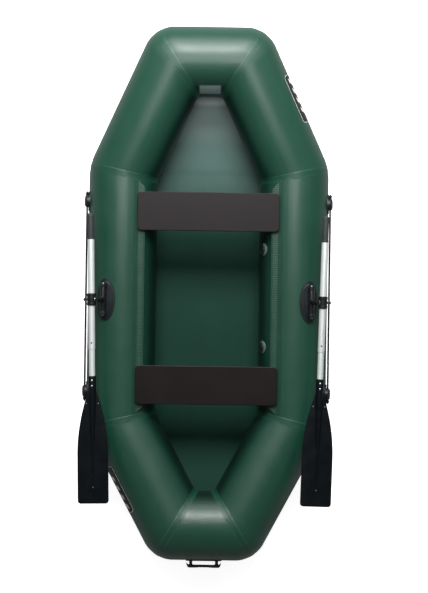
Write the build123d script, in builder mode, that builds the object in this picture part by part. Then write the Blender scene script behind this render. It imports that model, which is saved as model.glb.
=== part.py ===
from build123d import *
from math import atan2, cos, degrees, radians, sin, tan
import os

os.makedirs("parts", exist_ok=True)

# Inflatable rowing boat in millimetres: +Y to the bow, +X to starboard, +Z up. The origin is on
# the ground under the middle of the boat's box.

# ---------------------------------------------------------------- driving dimensions
hull_length = 2400.0        # outer face of the bow tube to outer face of the stern tube
hull_beam = 1090.0          # outer face to outer face of the side tubes
tube_diameter = 310.0
fabric_wall = 1.5           # coated fabric with its seams
floor_thickness = 1.5
floor_lap = 22.0            # floor fabric past the tubes' lowest line
skin_gap = 0.3              # between a curved face and what is bonded to it

bow_tube_width = 308.0      # between the ends of the bow tube's centreline
stern_tube_width = 270.0
bow_taper_length = 496.0    # fore-and-aft length of the slanted bow tubes' centrelines
stern_taper_length = 469.0
bow_rise = 90.0             # how far the bow tube lies above the side tubes
stern_rise = 45.0

rail_strip_from = 22.0      # degrees inboard of the tube's crown
rail_strip_to = 30.0
rail_strip_thickness = 1.5
rail_flap_thickness = 2.0
rail_flap_width = 27.0
rail_bead_radius = 3.5
rail_length = 1038.0
rail_end_taper = 36.0       # slanted cut at each end of the flap
rail_shift = -15.0          # rail's middle from the hull's middle

bench_overhang = 31.4       # board's end past the rail's bead
bench_width = 172.0
bench_thickness = 12.0
bench_corner_radius = 18.0
bench_edge_radius = 3.0
bow_bench_place = 368.0     # from the hull's middle
stern_bench_place = -405.0
clip_width = 21.0
clip_length = 130.0
clip_base = 4.0             # clip plastic between the bead's channel and the board
clip_floor = 3.2            # clip plastic under the channel
clip_play = 0.3             # round the bead, and half of it more each side of the flap
clip_inset = 12.0           # bead's centre to the clip's inner face

oarlock_place = -28.0       # from the hull's middle
oarlock_angle = 24.0        # degrees outboard of the side tube's crown
oarlock_pad_length = 186.0
oarlock_pad_width = 88.0
oarlock_pad_thickness = 5.0
axle_height = 20.0          # above the tube, along the pad's normal
axle_offset = 2.0           # outboard of the pad's middle
axle_radius = 4.0
running_play = 0.08         # radial play of a running fit
knuckle_radius = 13.0
ridge_length = 140.0        # both ears and the rocker between them
ear_length = 19.0
ear_play = 0.6              # rocker's end play at each ear
stem_radius = 8.0
stem_top = 34.0             # above the axle
stem_shoulder_radius = 12.0
head_radius = 13.5
head_bottom = 15.0          # above the axle
head_neck_bottom = 38.0
head_top = 59.0
head_neck_radius = 9.0
cross_pin_height = 50.0     # above the axle
cross_pin_radius = 5.0
oar_gap = 1.5               # between the head's neck and the oar's collar
washer_thickness = 1.6
washer_radius = 9.5
knob_radius = 8.0
knob_gap = 4.5              # between the collar and the knob

oar_toe_in = 1.5            # degrees that the blade turns inboard
shaft_diameter = 30.0
shaft_wall = 1.5
shaft_play = 0.1            # round the lower shaft inside the upper one
grip_end = 380.0            # forward of the oar's cross pin
grip_length = 115.0
grip_diameter = 28.0
grip_edge_radius = 7.0
grip_spigot = 50.0
upper_shaft_end = 219.0     # aft of the cross pin
shaft_overlap = 60.0
socket_start = 338.0        # aft of the cross pin
socket_wall = 3.6
socket_depth = 75.0
blade_start = 398.0         # aft of the cross pin
blade_full = 690.0          # where the blade reaches its full width
blade_tip = 900.0
blade_flare = 0.32          # slope of the blade's edges where they leave the socket
blade_width = 136.0
blade_thickness = 6.0
blade_corner_radius = 14.0
ridge_height = 2.0          # centre ridge's end above the blade
collar_length = 53.0
collar_wall = 4.5

holder_angle = 78.0         # degrees outboard of the side tube's crown
bow_holder_place = 416.0    # from the hull's middle
stern_holder_place = -445.0
holder_plate_length = 88.0
holder_plate_width = 56.0
holder_plate_thickness = 3.0
holder_dome_radius = 28.0
holder_dome_height = 20.0
holder_dome_edge = 10.0
rope_diameter = 8.0
rope_height = 10.0          # rope's centreline above the tube
knot_radius = 7.5

handle_reach = 36.0         # handle past the stern tube
handle_plate_width = 162.0
handle_plate_height = 66.0
handle_plate_thickness = 4.0
handle_plate_corner = 13.0
handle_bar_width = 156.0
handle_bar_height = 22.0
handle_bar_end = 11.0       # bar's depth at its ends
handle_bar_middle = 6.5     # and where it is hollowed for the hand
handle_post_spacing = 112.0
handle_post_radius = 7.5

eye_angle = 135.0           # degrees forward of the bow tube's crown
eye_pad_length = 90.0
eye_pad_width = 60.0
eye_pad_thickness = 4.0
eye_pad_corner = 20.0
eye_ear_thickness = 12.0
eye_outer_radius = 17.0
eye_hole_radius = 8.0
eye_height = 22.0           # hole's centre above the tube

valve_angle = 64.0          # degrees inboard of the starboard side tube's crown
bow_valve_place = 207.0     # from the hull's middle
stern_valve_place = -234.0
valve_flange_radius = 29.0
valve_flange_height = 6.0
valve_cap_radius = 19.0
valve_cap_height = 11.0

plate_angle = 63.0          # degrees aft of the bow tube's crown
plate_width = 100.0
plate_height = 65.0
plate_thickness = 1.0
plate_corner = 6.5

# ---------------------------------------------------------------- places worked out from them
tube_radius = tube_diameter / 2
bond_radius = tube_radius + skin_gap
middle_y = handle_reach / 2
side_x = hull_beam / 2 - tube_radius
axis_z = floor_thickness + bond_radius
end_y = hull_length / 2 - tube_radius
bow_corner_y = end_y - bow_taper_length
stern_corner_y = -end_y + stern_taper_length
bow_slope = degrees(atan2(bow_rise, bow_taper_length))
stern_slope = degrees(atan2(stern_rise, stern_taper_length))


def at(x, y, z):
    """A point whose y is counted from the hull's middle."""
    return Vector(x, y + middle_y, z)


# Centreline of the ring of tubes, clockwise from above, starting at the bow tube's port end.
ring = [
    at(-bow_tube_width / 2, end_y, axis_z + bow_rise),
    at(bow_tube_width / 2, end_y, axis_z + bow_rise),
    at(side_x, bow_corner_y, axis_z),
    at(side_x, stern_corner_y, axis_z),
    at(stern_tube_width / 2, -end_y, axis_z + stern_rise),
    at(-stern_tube_width / 2, -end_y, axis_z + stern_rise),
    at(-side_x, stern_corner_y, axis_z),
    at(-side_x, bow_corner_y, axis_z),
]
chamber_names = [
    "bow_tube",
    "starboard_bow_tube",
    "starboard_side_tube",
    "starboard_stern_tube",
    "stern_tube",
    "port_stern_tube",
    "port_side_tube",
    "port_bow_tube",
]
sides = {"starboard": 1, "port": -1}


def mitre_plane(index):
    """The plane that halves the bend at one corner of the ring, facing the next tube."""
    here = ring[index % 8]
    arriving = (here - ring[(index - 1) % 8]).normalized()
    leaving = (ring[(index + 1) % 8] - here).normalized()
    return Plane(origin=here, z_dir=arriving + leaving)


def finish(builder, label):
    """Name a finished piece and write it."""
    builder.part.label = label
    export_step(builder.part, f"parts/{label}.step")


# ---------------------------------------------------------------- air chambers
for index, name in enumerate(chamber_names):
    start, end = ring[index], ring[(index + 1) % 8]
    along = (end - start).normalized()
    with BuildPart() as chamber:
        with BuildSketch(Plane(origin=start - along * tube_diameter, z_dir=along)):
            Circle(tube_radius)
        extrude(amount=(end - start).length + 2 * tube_diameter)
        split(bisect_by=mitre_plane(index), keep=Keep.TOP)
        split(bisect_by=mitre_plane(index + 1), keep=Keep.BOTTOM)
        offset(amount=-fabric_wall, mode=Mode.SUBTRACT)
    finish(chamber, name)


# ---------------------------------------------------------------- floor
def floor_point(corner_y, slope, y, depth):
    """A point of the floor's side view, depth below the plane of the tubes' centrelines."""
    rise = (y - corner_y) * tan(radians(slope))
    return (y + middle_y, axis_z + rise - depth / cos(radians(slope)))


def bend_point(corner_y, slope, depth):
    """Where a sloping stretch of the floor meets the level one, at that depth."""
    return (corner_y + depth * tan(radians(slope / 2)) + middle_y, axis_z - depth)


floor_top = bond_radius
floor_bottom = bond_radius + floor_thickness
floor_reach = end_y + tube_radius
floor_profiles = {
    "bow_floor_panel": [
        bend_point(bow_corner_y, bow_slope, floor_bottom),
        floor_point(bow_corner_y, bow_slope, floor_reach, floor_bottom),
        floor_point(bow_corner_y, bow_slope, floor_reach, floor_top),
        bend_point(bow_corner_y, bow_slope, floor_top),
    ],
    "mid_floor_panel": [
        bend_point(stern_corner_y, -stern_slope, floor_bottom),
        bend_point(bow_corner_y, bow_slope, floor_bottom),
        bend_point(bow_corner_y, bow_slope, floor_top),
        bend_point(stern_corner_y, -stern_slope, floor_top),
    ],
    "stern_floor_panel": [
        floor_point(stern_corner_y, -stern_slope, -floor_reach, floor_bottom),
        bend_point(stern_corner_y, -stern_slope, floor_bottom),
        bend_point(stern_corner_y, -stern_slope, floor_top),
        floor_point(stern_corner_y, -stern_slope, -floor_reach, floor_top),
    ],
}
for name, profile in floor_profiles.items():
    with BuildPart() as panel:
        with BuildSketch(Plane.YZ):
            with BuildLine():
                Polyline(*profile, close=True)
            make_face()
        extrude(amount=hull_beam, both=True)
        with BuildSketch(Plane.XY.offset(-floor_thickness)):
            with BuildLine():
                Polyline(*[(corner.X, corner.Y) for corner in ring], close=True)
            make_face()
            offset(amount=floor_lap, kind=Kind.INTERSECTION)
        extrude(amount=tube_diameter, mode=Mode.INTERSECT)
    finish(panel, name)


# ---------------------------------------------------------------- seat rails
def section_plane(sign, x, y, z, angle=0.0):
    """A plane across the hull at a point of one side: its x runs outboard along the tube's skin
    and its y off the skin, where angle is how far outboard of the tube's crown the point is."""
    outboard = Vector(sign * cos(radians(angle)), 0, -sin(radians(angle)))
    return Plane(origin=(x, y, z), x_dir=outboard, z_dir=(0, -sign, 0))


strip_top = bond_radius + rail_strip_thickness
strip_edge = radians(rail_strip_to)
flap_x = side_x - strip_top * sin(strip_edge)
flap_z = axis_z + strip_top * cos(strip_edge)
bead_x = flap_x - rail_flap_width
rail_y = rail_shift + middle_y
rail_end = rail_length / 2
rail_inner_x = bead_x - 2 * rail_bead_radius

for side, sign in sides.items():
    with BuildPart() as rail:
        with BuildSketch(section_plane(sign, 0, rail_y, 0)):
            with Locations((side_x, axis_z)):
                Circle(strip_top)
                Circle(bond_radius, mode=Mode.SUBTRACT)
            with BuildLine():
                Polyline(
                    (side_x, axis_z),
                    (side_x - tube_diameter * tan(radians(rail_strip_from)), axis_z + tube_diameter),
                    (side_x - tube_diameter * tan(strip_edge), axis_z + tube_diameter),
                    close=True,
                )
            make_face(mode=Mode.INTERSECT)
            with Locations(((flap_x + rail_strip_thickness + bead_x) / 2, flap_z)):
                Rectangle(rail_flap_width + rail_strip_thickness, rail_flap_thickness)
            with Locations((bead_x, flap_z)):
                Circle(rail_bead_radius)
        extrude(amount=rail_end, both=True)
        with BuildSketch(Plane.XY):
            for end in (1, -1):
                with BuildLine():
                    Polyline(
                        (sign * rail_inner_x, rail_y + end * (rail_end - rail_end_taper)),
                        (sign * flap_x, rail_y + end * rail_end),
                        (sign * flap_x, rail_y + end * (rail_end + 1)),
                        (sign * rail_inner_x, rail_y + end * (rail_end + 1)),
                        close=True,
                    )
                make_face()
        extrude(amount=hull_beam, mode=Mode.SUBTRACT)
    finish(rail, f"{side}_seat_rail")

# ---------------------------------------------------------------- benches
channel_radius = rail_bead_radius + clip_play
slot_height = rail_flap_thickness + 3 * clip_play
board_z = flap_z + channel_radius + clip_base
clip_bottom = flap_z - channel_radius - clip_floor
clip_inner_x = bead_x - clip_inset
bench_length = 2 * (bead_x + bench_overhang)
benches = {"bow_bench": bow_bench_place, "stern_bench": stern_bench_place}

for name, place in benches.items():
    bench_y = place + middle_y
    with BuildPart() as board:
        with BuildSketch(Plane.XY.offset(board_z)):
            with Locations((0, bench_y)):
                RectangleRounded(bench_length, bench_width, bench_corner_radius)
        extrude(amount=bench_thickness)
        fillet(board.faces().filter_by(Axis.Z).edges(), radius=bench_edge_radius)
    finish(board, name)

    with BuildPart() as clips:
        for sign in sides.values():
            with BuildSketch(section_plane(sign, 0, bench_y, 0)):
                with Locations((clip_inner_x + clip_width / 2, (clip_bottom + board_z) / 2)):
                    Rectangle(clip_width, board_z - clip_bottom)
                with Locations((bead_x, flap_z)):
                    Circle(channel_radius, mode=Mode.SUBTRACT)
                with Locations((bead_x + clip_width / 2, flap_z)):
                    Rectangle(clip_width, slot_height, mode=Mode.SUBTRACT)
            extrude(amount=clip_length / 2, both=True)
    finish(clips, f"{name}_clips")


# ---------------------------------------------------------------- what is bonded to the tubes
def bond(center, along, thickness):
    """Trim the pad being built to the tube round center: its sole fits the skin and, with a
    thickness, its face follows it too."""
    with Locations(Plane(origin=center, z_dir=along)):
        if thickness:
            Cylinder(bond_radius + thickness, hull_length, mode=Mode.INTERSECT)
        Cylinder(bond_radius, hull_length, mode=Mode.SUBTRACT)


def side_normal(sign, angle):
    """Outward from a side tube's centreline, angle degrees outboard of its crown."""
    return Vector(sign * sin(radians(angle)), 0, cos(radians(angle)))


fore_and_aft = Vector(0, 1, 0)
across = Vector(1, 0, 0)
pad_sink = 12.0             # pads are drawn this deep into the tube and then trimmed to its skin

# ---------------------------------------------------------------- oarlocks and oars
ear_middle = (ridge_length - ear_length) / 2
barrel_length = ridge_length - 2 * ear_length - 2 * ear_play
grip_start = grip_end - grip_length
shaft_radius = shaft_diameter / 2
spigot_radius = shaft_radius - shaft_wall
lower_radius = spigot_radius - shaft_play
socket_radius = lower_radius + socket_wall
collar_radius = shaft_radius + collar_wall
oar_offset = head_neck_radius + oar_gap + collar_radius
knob_place = oar_offset + collar_radius + knob_gap + knob_radius
washer_face = oar_offset - collar_radius - skin_gap
ridge_end = blade_tip - blade_width
ridge_end_radius = blade_thickness / 2 + ridge_height

for side, sign in sides.items():
    tube_axis = at(sign * side_x, oarlock_place, axis_z)
    normal = side_normal(sign, oarlock_angle)
    outboard = side_normal(sign, oarlock_angle + 90)
    pad_middle = tube_axis + normal * tube_radius
    section = section_plane(sign, *pad_middle, angle=oarlock_angle)
    axle_spot = (axle_offset, axle_height)

    with BuildPart() as base:
        with BuildSketch(Plane(origin=pad_middle - normal * pad_sink, x_dir=outboard, z_dir=normal)):
            Ellipse(oarlock_pad_width / 2, oarlock_pad_length / 2)
        extrude(amount=2 * pad_sink)
        bond(tube_axis, fore_and_aft, oarlock_pad_thickness)
        for ear in (-ear_middle, ear_middle):
            with BuildSketch(section.offset(ear)):
                with Locations((axle_offset, (axle_height + oarlock_pad_thickness / 2) / 2)):
                    Rectangle(2 * knuckle_radius, axle_height - oarlock_pad_thickness / 2)
                with Locations(axle_spot):
                    Circle(knuckle_radius)
            extrude(amount=ear_length / 2, both=True)
        with BuildSketch(section):
            with Locations(axle_spot):
                Circle(axle_radius)
        extrude(amount=ridge_length, both=True, mode=Mode.SUBTRACT)
    finish(base, f"{side}_oarlock_base")

    with BuildPart() as axle:
        with BuildSketch(section):
            with Locations(axle_spot):
                Circle(axle_radius)
        extrude(amount=ridge_length / 2, both=True)
    finish(axle, f"{side}_oarlock_axle")

    axle_middle = pad_middle + normal * axle_height + outboard * axle_offset
    with BuildPart() as rocker:
        with BuildSketch(section):
            with Locations(axle_spot):
                Circle(knuckle_radius)
        extrude(amount=barrel_length / 2, both=True)
        with BuildSketch(Plane(origin=axle_middle, z_dir=normal)):
            Circle(stem_shoulder_radius)
        extrude(amount=head_bottom - skin_gap)
        with BuildSketch(Plane(origin=axle_middle, z_dir=normal)):
            Circle(stem_radius)
        extrude(amount=stem_top)
        with BuildSketch(section):
            with Locations(axle_spot):
                Circle(axle_radius + running_play)
        extrude(amount=ridge_length, both=True, mode=Mode.SUBTRACT)
    finish(rocker, f"{side}_oarlock_rocker")

    # The head and the oar are drawn in the oar's own directions, turned in by the toe-in.
    toe = radians(oar_toe_in)
    pin_way = outboard * cos(toe) - fore_and_aft * sin(toe)
    blade_way = -fore_and_aft * cos(toe) - outboard * sin(toe)
    pin_start = axle_middle + normal * cross_pin_height
    oar_middle = pin_start + pin_way * oar_offset

    with BuildPart() as head:
        with BuildSketch(Plane(origin=axle_middle + normal * head_bottom, z_dir=normal)):
            Circle(head_radius)
        extrude(amount=head_neck_bottom - head_bottom)
        with BuildSketch(Plane(origin=axle_middle + normal * head_bottom, z_dir=normal)):
            Circle(head_neck_radius)
        extrude(amount=head_top - head_bottom)
        with BuildSketch(Plane(origin=axle_middle, z_dir=normal)):
            Circle(stem_radius + running_play)
        extrude(amount=stem_top + skin_gap, mode=Mode.SUBTRACT)
        with BuildSketch(Plane(origin=pin_start, z_dir=pin_way)):
            Circle(cross_pin_radius)
        extrude(amount=knob_place)
        with BuildSketch(Plane(origin=pin_start + pin_way * washer_face, z_dir=-pin_way)):
            Circle(washer_radius)
        extrude(amount=washer_thickness)
        with Locations(pin_start + pin_way * knob_place):
            Sphere(knob_radius)
    finish(head, f"{side}_swivel_head")

    def oar_station(reach):
        """A plane across the oar, reach millimetres from its cross pin towards the blade."""
        return Plane(origin=oar_middle + blade_way * reach, z_dir=blade_way)

    with BuildPart() as collar:
        with BuildSketch(oar_station(-collar_length / 2)):
            Circle(collar_radius)
            Circle(shaft_radius, mode=Mode.SUBTRACT)
        extrude(amount=collar_length)
        with BuildSketch(Plane(origin=oar_middle, z_dir=pin_way)):
            Circle(cross_pin_radius + running_play)
        extrude(amount=2 * collar_radius, both=True, mode=Mode.SUBTRACT)
    finish(collar, f"{side}_oar_collar")

    with BuildPart() as upper_shaft:
        with BuildSketch(oar_station(-grip_start)):
            Circle(shaft_radius)
            Circle(spigot_radius, mode=Mode.SUBTRACT)
        extrude(amount=grip_start + upper_shaft_end)
        with BuildSketch(Plane(origin=oar_middle, z_dir=pin_way)):
            Circle(cross_pin_radius + running_play)
        extrude(amount=2 * collar_radius, both=True, mode=Mode.SUBTRACT)
    finish(upper_shaft, f"{side}_oar_upper_shaft")

    with BuildPart() as lower_shaft:
        with BuildSketch(oar_station(upper_shaft_end - shaft_overlap)):
            Circle(lower_radius)
            Circle(lower_radius - shaft_wall, mode=Mode.SUBTRACT)
        extrude(amount=shaft_overlap + socket_start + socket_depth - upper_shaft_end)
    finish(lower_shaft, f"{side}_oar_lower_shaft")

    with BuildPart() as grip:
        with BuildSketch(oar_station(-grip_end)):
            Circle(grip_diameter / 2)
        extrude(amount=grip_length)
        fillet(grip.faces().sort_by(Axis.Y)[-1].edges(), radius=grip_edge_radius)
        with BuildSketch(oar_station(-grip_start)):
            Circle(spigot_radius)
        extrude(amount=grip_spigot)
    finish(grip, f"{side}_oar_grip")

    up = Vector(0, 0, 1)
    blade_face = (up - blade_way * up.dot(blade_way)).normalized()
    half_width = blade_width / 2
    with BuildPart() as blade:
        with BuildSketch(Plane(origin=oar_middle, x_dir=blade_way, z_dir=blade_face)):
            with BuildLine():
                Line((blade_start, 0), (blade_start, socket_radius))
                Spline(
                    (blade_start, socket_radius),
                    (blade_full, half_width),
                    tangents=((1, blade_flare), (1, 0)),
                )
                Line((blade_full, half_width), (blade_tip, half_width))
                Line((blade_tip, half_width), (blade_tip, 0))
                mirror(about=Plane.XZ)
            make_face()
            fillet(vertices().group_by(Axis.X)[-1], radius=blade_corner_radius)
        extrude(amount=blade_thickness / 2, both=True)
        with BuildSketch(oar_station(socket_start)):
            Circle(socket_radius)
        extrude(amount=socket_depth)
        with BuildSketch(oar_station(socket_start + socket_depth)):
            Circle(socket_radius)
        with BuildSketch(oar_station(ridge_end)):
            Circle(ridge_end_radius)
        loft()
        with BuildSketch(oar_station(socket_start)):
            Circle(lower_radius)
        extrude(amount=socket_depth, mode=Mode.SUBTRACT)
    finish(blade, f"{side}_oar_blade")

# ---------------------------------------------------------------- lifelines
holders = {"bow": bow_holder_place, "stern": stern_holder_place}
rope_end = holder_plate_length / 2 + knot_radius

for side, sign in sides.items():
    normal = side_normal(sign, holder_angle)
    rope_off = normal * (tube_radius + rope_height)
    for end, place in holders.items():
        tube_axis = at(sign * side_x, place, axis_z)
        sole = tube_axis + normal * (tube_radius - pad_sink)
        with BuildPart() as holder:
            with BuildSketch(Plane(origin=sole, x_dir=fore_and_aft, z_dir=normal)):
                Ellipse(holder_plate_length / 2, holder_plate_width / 2)
            extrude(amount=2 * pad_sink)
            bond(tube_axis, fore_and_aft, holder_plate_thickness)
            with BuildSketch(Plane(origin=sole, x_dir=fore_and_aft, z_dir=normal)):
                Circle(holder_dome_radius)
            extrude(amount=pad_sink + holder_dome_height)
            top = holder.faces().sort_by_distance(tube_axis)[-1]
            fillet(top.edges(), radius=holder_dome_edge)
            bond(tube_axis, fore_and_aft, 0)
            with BuildSketch(Plane(origin=tube_axis + rope_off, z_dir=fore_and_aft)):
                Circle(rope_diameter / 2)
            extrude(amount=holder_plate_length, both=True, mode=Mode.SUBTRACT)
        finish(holder, f"{side}_{end}_rope_holder")

    rope_start = at(sign * side_x, stern_holder_place - rope_end, axis_z) + rope_off
    rope_length = bow_holder_place - stern_holder_place + 2 * rope_end
    with BuildPart() as lifeline:
        with BuildSketch(Plane(origin=rope_start, z_dir=fore_and_aft)):
            Circle(rope_diameter / 2)
        extrude(amount=rope_length)
        with Locations(rope_start, rope_start + fore_and_aft * rope_length):
            Sphere(knot_radius)
    finish(lifeline, f"{side}_lifeline")

# ---------------------------------------------------------------- stern handle
stern_axis = at(0, -end_y, axis_z + stern_rise)
plate_face_y = stern_axis.Y - bond_radius - handle_plate_thickness
handle_end_y = middle_y - hull_length / 2 - handle_reach
bar_inner_y = handle_end_y + handle_bar_end
bar_hollow_y = bar_inner_y - handle_bar_middle
half_bar = handle_bar_width / 2

with BuildPart() as handle:
    with BuildSketch(Plane(origin=(0, stern_axis.Y, stern_axis.Z), x_dir=across, z_dir=(0, -1, 0))):
        RectangleRounded(handle_plate_width, handle_plate_height, handle_plate_corner)
    extrude(amount=tube_diameter)
    bond(stern_axis, across, handle_plate_thickness)
    with BuildSketch(Plane(origin=(0, bar_inner_y, stern_axis.Z), x_dir=across, z_dir=(0, 1, 0))):
        with GridLocations(handle_post_spacing, 1, 2, 1):
            Circle(handle_post_radius)
    extrude(amount=plate_face_y + handle_plate_thickness / 2 - bar_inner_y)
    with BuildSketch(Plane.XY.offset(stern_axis.Z)):
        with BuildLine():
            Polyline(
                (-half_bar, handle_end_y),
                (-half_bar, bar_inner_y),
                (half_bar, bar_inner_y),
                (half_bar, handle_end_y),
            )
            ThreePointArc((half_bar, handle_end_y), (0, bar_hollow_y), (-half_bar, handle_end_y))
        make_face()
    extrude(amount=handle_bar_height / 2, both=True)
finish(handle, "stern_handle")

# ---------------------------------------------------------------- tow eye
bow_axis = at(0, end_y, axis_z + bow_rise)
eye_way = Vector(0, sin(radians(eye_angle)), cos(radians(eye_angle)))
eye_middle = bow_axis + eye_way * (tube_radius + eye_height)

with BuildPart() as eye:
    with BuildSketch(Plane(origin=bow_axis, x_dir=across, z_dir=eye_way)):
        RectangleRounded(eye_pad_length, eye_pad_width, eye_pad_corner)
    extrude(amount=tube_diameter)
    bond(bow_axis, across, eye_pad_thickness)
    with BuildSketch(Plane(origin=eye_middle, x_dir=eye_way, z_dir=across)):
        Circle(eye_outer_radius)
        with Locations((-eye_height / 2, 0)):
            Rectangle(eye_height, 2 * eye_outer_radius)
    extrude(amount=eye_ear_thickness / 2, both=True)
    bond(bow_axis, across, 0)
    with BuildSketch(Plane(origin=eye_middle, z_dir=across)):
        Circle(eye_hole_radius)
    extrude(amount=eye_ear_thickness, both=True, mode=Mode.SUBTRACT)
finish(eye, "bow_tow_eye")

# ---------------------------------------------------------------- valves
valves = {"bow": bow_valve_place, "stern": stern_valve_place}
valve_way = side_normal(1, -valve_angle)

for end, place in valves.items():
    tube_axis = at(side_x, place, axis_z)
    sole = Plane(origin=tube_axis + valve_way * (tube_radius - pad_sink), z_dir=valve_way)
    with BuildPart() as valve:
        with BuildSketch(sole):
            Circle(valve_flange_radius)
        extrude(amount=pad_sink + valve_flange_height)
        with BuildSketch(sole):
            Circle(valve_cap_radius)
        extrude(amount=pad_sink + valve_cap_height)
        bond(tube_axis, fore_and_aft, 0)
    finish(valve, f"{end}_valve")

# ---------------------------------------------------------------- data plate, left blank
plate_way = Vector(0, -sin(radians(plate_angle)), cos(radians(plate_angle)))

with BuildPart() as data_plate:
    with BuildSketch(Plane(origin=bow_axis, x_dir=across, z_dir=plate_way)):
        RectangleRounded(plate_width, plate_height, plate_corner)
    extrude(amount=tube_diameter)
    bond(bow_axis, across, plate_thickness)
finish(data_plate, "data_plate")
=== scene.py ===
from math import atan2, cos, pi, radians, sin, tan

import bmesh
import bpy
from mathutils import Matrix, Vector


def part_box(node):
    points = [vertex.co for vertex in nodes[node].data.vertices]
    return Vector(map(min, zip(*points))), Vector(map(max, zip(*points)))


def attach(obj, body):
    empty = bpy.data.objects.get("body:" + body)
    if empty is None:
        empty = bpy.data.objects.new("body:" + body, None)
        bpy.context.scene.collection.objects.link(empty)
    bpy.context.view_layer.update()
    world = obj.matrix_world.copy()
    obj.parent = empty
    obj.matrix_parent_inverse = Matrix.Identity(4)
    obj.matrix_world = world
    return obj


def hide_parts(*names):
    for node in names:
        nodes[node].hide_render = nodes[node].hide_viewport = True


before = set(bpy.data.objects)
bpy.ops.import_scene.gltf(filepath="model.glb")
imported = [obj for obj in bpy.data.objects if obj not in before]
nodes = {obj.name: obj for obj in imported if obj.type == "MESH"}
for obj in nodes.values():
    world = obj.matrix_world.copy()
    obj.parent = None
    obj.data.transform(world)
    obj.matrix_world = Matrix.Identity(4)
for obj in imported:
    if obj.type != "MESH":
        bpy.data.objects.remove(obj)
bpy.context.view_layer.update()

# Looks of the inflatable rowing boat. Metres, +Y to the bow, +X to starboard, +Z up.
MM = 0.001
SIDES = {"starboard": 1, "port": -1}
UP = Vector((0, 0, 1))
ALONG_Y = Matrix.Rotation(pi / 2, 4, "X")   # lays a piece that was modelled upright fore and aft


def mm(*sizes):
    """Sizes in millimetres."""
    return tuple(size * MM for size in sizes)


def box_middle(node):
    """Middle of a CAD node's bounding box."""
    low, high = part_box(node)
    return [(first + last) / 2 for first, last in zip(low, high)]


# -------- the hull's layout
SIDE_X, _, SIDE_Z = box_middle("starboard_side_tube")
_, BOW_Y, BOW_Z = box_middle("bow_tube")
_, STERN_Y, STERN_Z = box_middle("stern_tube")
TUBE_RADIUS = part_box("bow_tube")[1].z - BOW_Z
BOW_TUBE_WIDTH = 308 * MM       # between the ends of the bow tube's centreline
STERN_TUBE_WIDTH = 270 * MM
BOW_TAPER = 496 * MM            # fore-and-aft length of the slanted tubes
STERN_TAPER = 469 * MM
MIDDLE_Y = (BOW_Y + STERN_Y) / 2

# Corners of the tubes' centreline, clockwise from above, from the bow tube's port end.
RING = [Vector(corner) for corner in (
    (-BOW_TUBE_WIDTH / 2, BOW_Y, BOW_Z),
    (BOW_TUBE_WIDTH / 2, BOW_Y, BOW_Z),
    (SIDE_X, BOW_Y - BOW_TAPER, SIDE_Z),
    (SIDE_X, STERN_Y + STERN_TAPER, SIDE_Z),
    (STERN_TUBE_WIDTH / 2, STERN_Y, STERN_Z),
    (-STERN_TUBE_WIDTH / 2, STERN_Y, STERN_Z),
    (-SIDE_X, STERN_Y + STERN_TAPER, SIDE_Z),
    (-SIDE_X, BOW_Y - BOW_TAPER, SIDE_Z))]
CHAMBERS = [
    "bow_tube", "starboard_bow_tube", "starboard_side_tube", "starboard_stern_tube",
    "stern_tube", "port_stern_tube", "port_side_tube", "port_bow_tube",
]
END_CORNERS = (0, 1, 4, 5)      # corners of the bow and stern tubes; the others are the side tubes'


def run(index):
    """Unit vector along one chamber, in the ring's direction."""
    return (RING[(index + 1) % 8] - RING[index % 8]).normalized()


def mitre(index):
    """Normal of the plane that halves one corner."""
    return (run(index - 1) + run(index)).normalized()


def half_bend(index):
    """Half the angle that the ring turns at one corner."""
    return run(index - 1).angle(run(index)) / 2


# -------- modelling helpers
def clear():
    """Object mode with nothing selected, ready for a primitive."""
    if bpy.context.mode != "OBJECT":
        bpy.ops.object.mode_set(mode="OBJECT")
    bpy.ops.object.select_all(action="DESELECT")


def pick(*pieces):
    """Object mode with only these selected, the last one active."""
    clear()
    for piece in pieces:
        piece.select_set(True)
    bpy.context.view_layer.objects.active = pieces[-1]


def edit(piece, mark="SELECT"):
    """Edit mode with the whole piece selected, or none of it."""
    pick(piece)
    bpy.ops.object.mode_set(mode="EDIT")
    bpy.ops.mesh.select_all(action=mark)


def named(name):
    """The active piece, renamed, with its place in its mesh."""
    piece = bpy.context.object
    piece.name = name
    piece.data.name = name
    bpy.ops.object.transform_apply()
    return piece


def primitive(kind, name, **settings):
    """A new piece from one of the mesh primitives."""
    clear()
    getattr(bpy.ops.mesh, f"primitive_{kind}_add")(**settings)
    return named(name)


def cylinder(name, radius, depth, centre=(0, 0, 0), sides=48, ends="NGON"):
    """A cylinder about a line along z."""
    return primitive("cylinder", name, vertices=sides, radius=radius, depth=depth,
                     end_fill_type=ends, location=centre)


def torus(name, radius, roll, segments, stretch, centre=(0, 0, 0), turn=(0, 0, 0)):
    """A ring about z, or turned from it, stretched about its own centre."""
    ring = primitive("torus", name, major_segments=segments, major_radius=radius,
                     minor_radius=roll, location=centre, rotation=turn)
    return stretched(ring, stretch, centre)


def box(name, size, centre=(0, 0, 0)):
    """A box about a point."""
    return primitive("cube", name, size=1, location=centre, scale=size)


def select(piece, kind, test=lambda element: True):
    """Edit mode with only the faces, edges or verts that pass the test selected."""
    edit(piece, "DESELECT")
    bpy.ops.mesh.select_mode(type=kind)
    shape = bmesh.from_edit_mesh(piece.data)
    elements = {"VERT": shape.verts, "EDGE": shape.edges, "FACE": shape.faces}[kind]
    for element in elements:
        element.select_set(test(element))
    shape.select_flush_mode()
    bmesh.update_edit_mesh(piece.data)


def stretched(piece, value, centre=(0, 0, 0)):
    """Resize a whole piece about a point."""
    select(piece, "VERT")
    bpy.ops.transform.resize(value=value, center_override=centre)
    clear()
    return piece


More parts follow.
